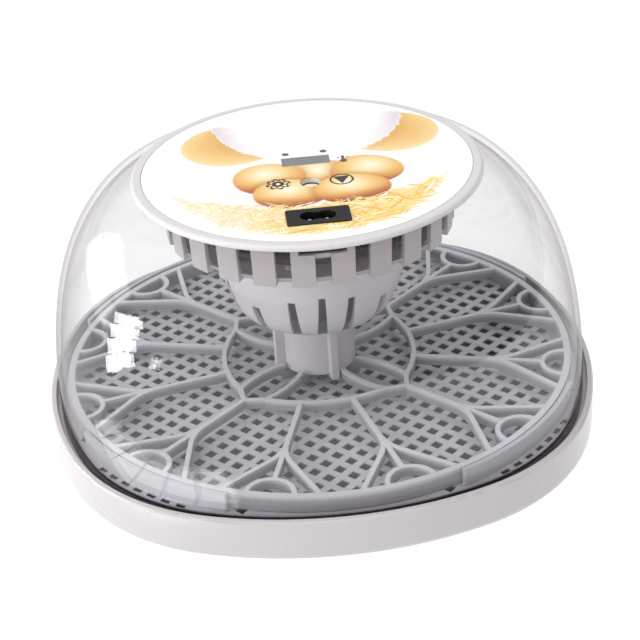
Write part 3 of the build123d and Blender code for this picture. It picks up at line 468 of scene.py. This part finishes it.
# ---------------------------------------------------------------- what each node is made of
def finishes():
    """Each material with the CAD nodes that wear it."""
    label = printed_label("label_print")
    return {
        moulded("base_white", srgb(193, 188, 190), 0.26, grain=0.000005, coat=0.25, drift=0.004): [
            "base_shell"],
        rubber("foot_rubber", srgb(70, 70, 72)): ["rubber_feet"],
        moulded("tray_plastic", srgb(48, 47, 50), 0.4): ["water_tray"],
        moulded("floor_grey", srgb(186, 183, 190), 0.38, edge=0.0003,
                shade=(GRID_TOP - 1.3 * MM, GRID_TOP - 0.15 * MM, 0.08)): ["floor_grid"],
        moulded("guide_grey", srgb(186, 184, 192), 0.38, edge=0.0003): ["corner_guides"],
        moulded("turner_grey", srgb(202, 199, 208), 0.3, edge=0.0007,
                shade=(TURNER_TOP - 2.8 * MM, TURNER_TOP - 0.5 * MM, 0.52)): ["egg_turner"],
        moulded("bush_white", srgb(225, 224, 220), 0.4): ["turner_bush"],
        clear_plastic("dome_clear", (0.955, 0.955, 0.958, 1.0),
                      ((0.86, 0.85, 0.855, 1.0), (0.6, 0.56, 0.575, 1.0), (0.2, 0.17, 0.18, 1.0)),
                      (0.4, 0.385, 0.39, 1.0), SEAM_TOP): ["dome_cover"],
        moulded("flange_white", srgb(208, 205, 207), 0.28, coat=0.3, drift=0.01): ["head_flange"],
        label: ["label_panel", "set_key", "down_key"],
        moulded("key_cream", srgb(244, 233, 208), 0.4, drift=0.03): ["middle_key"],
        smoked_window("display_grey", srgb(118, 119, 124)): ["display_window"],
        moulded("dark_plastic", srgb(14, 13, 13), 0.5, grain=0.00008): ["mains_inlet", "display_module"],
        smoked_window("lamp_dark", srgb(62, 62, 66)): ["indicator_lamps"],
        metal("pin_metal", srgb(225, 222, 214), 0.22): ["inlet_pins"],
        moulded("basket_grey", srgb(184, 175, 178), 0.4, edge=0.0005): ["head_basket"],
        moulded("bell_grey", srgb(212, 207, 212), 0.36, edge=0.0007): ["fan_bell", "drive_column"],
        circuit_board("board_green"): ["control_board"],
        moulded("module_dark", srgb(46, 46, 50), 0.45, grain=0.00008): [
            "power_module", "buzzer", "key_switches"],
        metal("screw_steel", srgb(190, 190, 193), 0.3, (1.0, 1.0, 1.0), 900.0): [
            "board_screws", "head_screws", "bracket_screws", "motor_screws"],
        metal("heater_wire", srgb(112, 100, 94), 0.42, (1.0, 1.0, 1.0), 400.0): ["heating_element"],
        ceramic("heater_stand", srgb(232, 226, 212)): ["heater_stands"],
        metal("probe_steel", srgb(205, 205, 207), 0.28, (30.0, 30.0, 1.0)): ["temperature_probe"],
        moulded("bracket_grey", srgb(74, 72, 76), 0.42): ["fan_bracket"],
        metal("motor_steel", srgb(120, 118, 122), 0.38, (30.0, 30.0, 1.0)): ["fan_motor", "turner_motor"],
        metal("shaft_steel", srgb(205, 205, 208), 0.2, (1.0, 1.0, 30.0)): ["fan_shaft", "motor_shaft"],
        moulded("fan_black", srgb(52, 52, 56), 0.4): ["fan_impeller"],
    }


for material, nodes in finishes().items():
    for node in nodes:
        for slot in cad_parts[node].material_slots:
            slot.material = material

# ---------------------------------------------------------------- studio
FLOOR_GLOW = 1.04
WORLD_LOW = 0.18
WORLD_HIGH = 1.0
BRIGHT_WAY = (-0.75, -0.15, 0.65)  # the room is brightest this way, up on the left
WORLD_FALL = {"From Min": -0.6, "From Max": 0.75, "To Min": WORLD_LOW, "To Max": WORLD_HIGH}
PANE = 0.92  # the share of a window that is glass, the rest is its bars

# name, place, (width, height), power in watts
SOFT_LIGHTS = (("key", (-0.7, -0.35, 1.6), (0.8, 0.8), 7.5),
               ("side", (-1.3, -0.5, 0.5), (0.9, 0.5), 8.0),
               ("fill", (0.8, 0.1, 1.2), (0.8, 0.8), 4.0))


def studio_floor():
    """A large plain sheet under the feet, lit from behind like a white table."""
    bpy.ops.mesh.primitive_plane_add(size=24.0, location=(0, 0, cad_low[2]))
    floor = bpy.context.object
    floor.name = "studio_floor"
    graph = Graph("studio_floor")
    mottle = graph.noise(3.0, 2.0)
    tone = graph.mix(mottle, (0.09, 0.09, 0.09, 1.0), (0.11, 0.11, 0.11, 1.0))
    floor.data.materials.append(graph.principled(
        Base_Color=tone, Roughness=0.9, Emission_Color=(1.0, 1.0, 1.0, 1.0), Emission_Strength=FLOOR_GLOW))


def soft_light(name, place, aim, size, power, colour=(1.0, 1.0, 1.0)):
    """A rectangular area light at a place, aimed at a point."""
    data = bpy.data.lights.new(name, "AREA")
    data.shape = "RECTANGLE"
    data.size, data.size_y = size
    data.energy = power
    data.color = colour
    lamp = bpy.data.objects.new(name, data)
    bpy.context.scene.collection.objects.link(lamp)
    lamp.location = place
    lamp.rotation_euler = (Vector(aim) - Vector(place)).to_track_quat("-Z", "Y").to_euler()
    return lamp


def window_light(name, centre, across, size, panes, glow, lean=0.0, facing=None):
    """A paned window that shows only in glossy reflections; lean shifts each row along its sill."""
    across = Vector(across).normalized()
    if facing is None:
        facing = (Vector((0.0, 0.0, centre[2])) - Vector(centre)).normalized()
    facing = Vector(facing)
    facing = (facing - facing.dot(across) * across).normalized()
    upward = facing.cross(across)
    columns, rows = panes
    wide, tall = size[0] / columns, size[1] / rows
    turned = Matrix((across, -upward, -facing)).transposed().to_4x4()
    for column in range(columns):
        for row in range(rows):
            rise = (row - (rows - 1) / 2) * tall
            shift = ((column - (columns - 1) / 2) * wide + lean * rise) * across + rise * upward
            lamp = soft_light(name, Vector(centre) + shift, centre, (PANE * wide, PANE * tall),
                              glow * pi * PANE * wide * PANE * tall)
            lamp.matrix_world = Matrix.Translation(Vector(centre) + shift) @ turned
            lamp.visible_camera = False
            lamp.visible_diffuse = False
            lamp.visible_transmission = False


def studio_light():
    """A room brightest on the left, soft lights, and windows that only the clear dome and gloss show."""
    world = bpy.data.worlds.new("studio")
    bpy.context.scene.world = world
    world.use_nodes = True
    tree = world.node_tree
    tree.nodes["Background"].inputs["Color"].default_value = (1.0, 1.0, 1.0, 1.0)
    way = tree.nodes.new("ShaderNodeTexCoord").outputs["Generated"]
    dot = tree.nodes.new("ShaderNodeVectorMath")
    dot.operation = "DOT_PRODUCT"
    dot.inputs[1].default_value = BRIGHT_WAY
    tree.links.new(way, dot.inputs[0])
    fall = tree.nodes.new("ShaderNodeMapRange")
    for name, value in WORLD_FALL.items():
        fall.inputs[name].default_value = value
    tree.links.new(dot.outputs["Value"], fall.inputs["Value"])
    tree.links.new(fall.outputs["Result"], tree.nodes["Background"].inputs["Strength"])
    middle = (0.0, 0.0, 0.06)
    for name, place, size, power in SOFT_LIGHTS:
        lamp = soft_light(name, place, middle, size, power)
        lamp.visible_glossy = False
    window_light("far_window", (-1.16, 0.72, 0.46), (-0.4, -0.92, 0.0), (0.95, 0.72), (2, 2), 2.2)
    window_light("near_window", (-0.43, -0.065, 0.15), (0.0, -0.8, 0.55), (0.13, 0.17), (2, 4), 14.0, -0.4)
    window_light("table_glare", (-0.165, -0.125, 0.003), (0.745, -0.667, 0.0), (0.2, 0.06), (6, 1), 2.2,
                 facing=(0.0, 0.0, 1.0))
    window_light("glint", (-0.412, -0.23, 0.15), (0.5, -0.8, 0.3), (0.03, 0.045), (2, 2), 6.0, -0.4)


CAMERA_AZIMUTH = radians(-4.0)
CAMERA_ELEVATION = radians(29.82)
CAMERA_ROLL = radians(-3.69)
CAMERA_DISTANCE = 0.9306
LENS = 96.3
AIM_RIGHT = 1.8 * MM
AIM_UP = 51.1 * MM


def studio_camera():
    """The camera looks down on the front, turned a little to the left and rolled."""
    a, e, r = CAMERA_AZIMUTH, CAMERA_ELEVATION, CAMERA_ROLL
    back = Vector((sin(a) * cos(e), -cos(a) * cos(e), sin(e)))
    right = Vector((cos(a), sin(a), 0.0))
    up = back.cross(right)
    rolled_right = cos(r) * right + sin(r) * up
    rolled_up = cos(r) * up - sin(r) * right
    data = bpy.data.cameras.new("camera")
    data.lens = LENS
    data.sensor_width = 36.0
    camera = bpy.data.objects.new("camera", data)
    bpy.context.scene.collection.objects.link(camera)
    turned = Matrix((rolled_right, rolled_up, back)).transposed().to_4x4()
    aim = right * AIM_RIGHT + Vector((0.0, 0.0, AIM_UP))
    camera.matrix_world = Matrix.Translation(aim + back * CAMERA_DISTANCE) @ turned
    bpy.context.scene.camera = camera


studio_floor()
studio_light()
studio_camera()
bpy.context.scene.view_settings.view_transform = "Standard"
